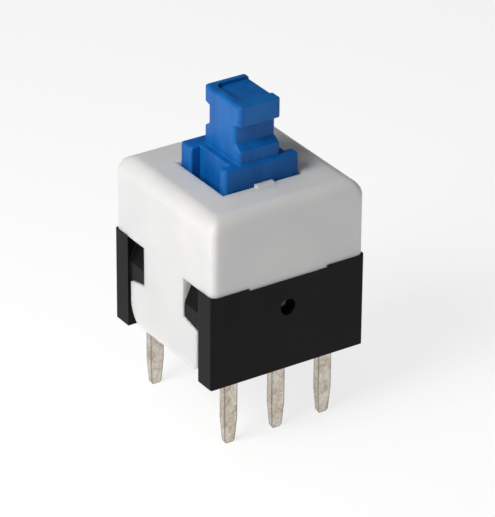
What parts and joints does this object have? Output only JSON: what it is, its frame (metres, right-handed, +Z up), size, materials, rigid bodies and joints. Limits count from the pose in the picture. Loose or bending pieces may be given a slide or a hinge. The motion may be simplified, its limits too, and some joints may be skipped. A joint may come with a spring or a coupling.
{
  "type": "latching push button switch",
  "caption": "Small latching push button switch with a clipped-on cover, a grooved sliding plunger and rows of flat solder pins.",
  "frame": {"origin": "centre of the square footprint, on the plane where the base sits on the board", "axes": "+Z up out of the board, along the plunger's travel; +X along the pin rows; -Y is the side with the latch pivot hole"},
  "size_m": [0.008, 0.008, 0.0155],
  "materials": {
    "cover": "satin white moulding",
    "base": "matt black moulding",
    "plunger": "satin blue moulding",
    "tinned_brass": "dull tin plate",
    "spring_steel": "drawn wire",
    "latch_steel": "drawn wire",
    "contact_bronze": "bright stamped strip"
  },
  "bodies": {
    "housing": {"base": "base", "cover": "cover", "return_spring": "spring_steel", "terminal_front_nc": "tinned_brass", "terminal_front_com": "tinned_brass", "terminal_front_no": "tinned_brass", "terminal_back_nc": "tinned_brass", "terminal_back_com": "tinned_brass", "terminal_back_no": "tinned_brass"},
    "plunger": {"plunger": "plunger", "contact_front": "contact_bronze", "contact_back": "contact_bronze"},
    "latch": {"latch_wire": "latch_steel"}
  },
  "joints": [
    {"name": "plunger_slide", "type": "slide", "parent": "housing", "child": "plunger", "axis": [0, 0, -1], "range_m": [0, 0.0022], "stiffness_N_per_m": 600, "springref_m": -0.0015, "deforming": ["return_spring"]},
    {"name": "latch_swing", "type": "hinge", "parent": "housing", "child": "latch", "pos_m": [0, -0.0032, 0.00305], "axis": [0, 1, 0], "range_deg": [0, 36.4]}
  ]
}
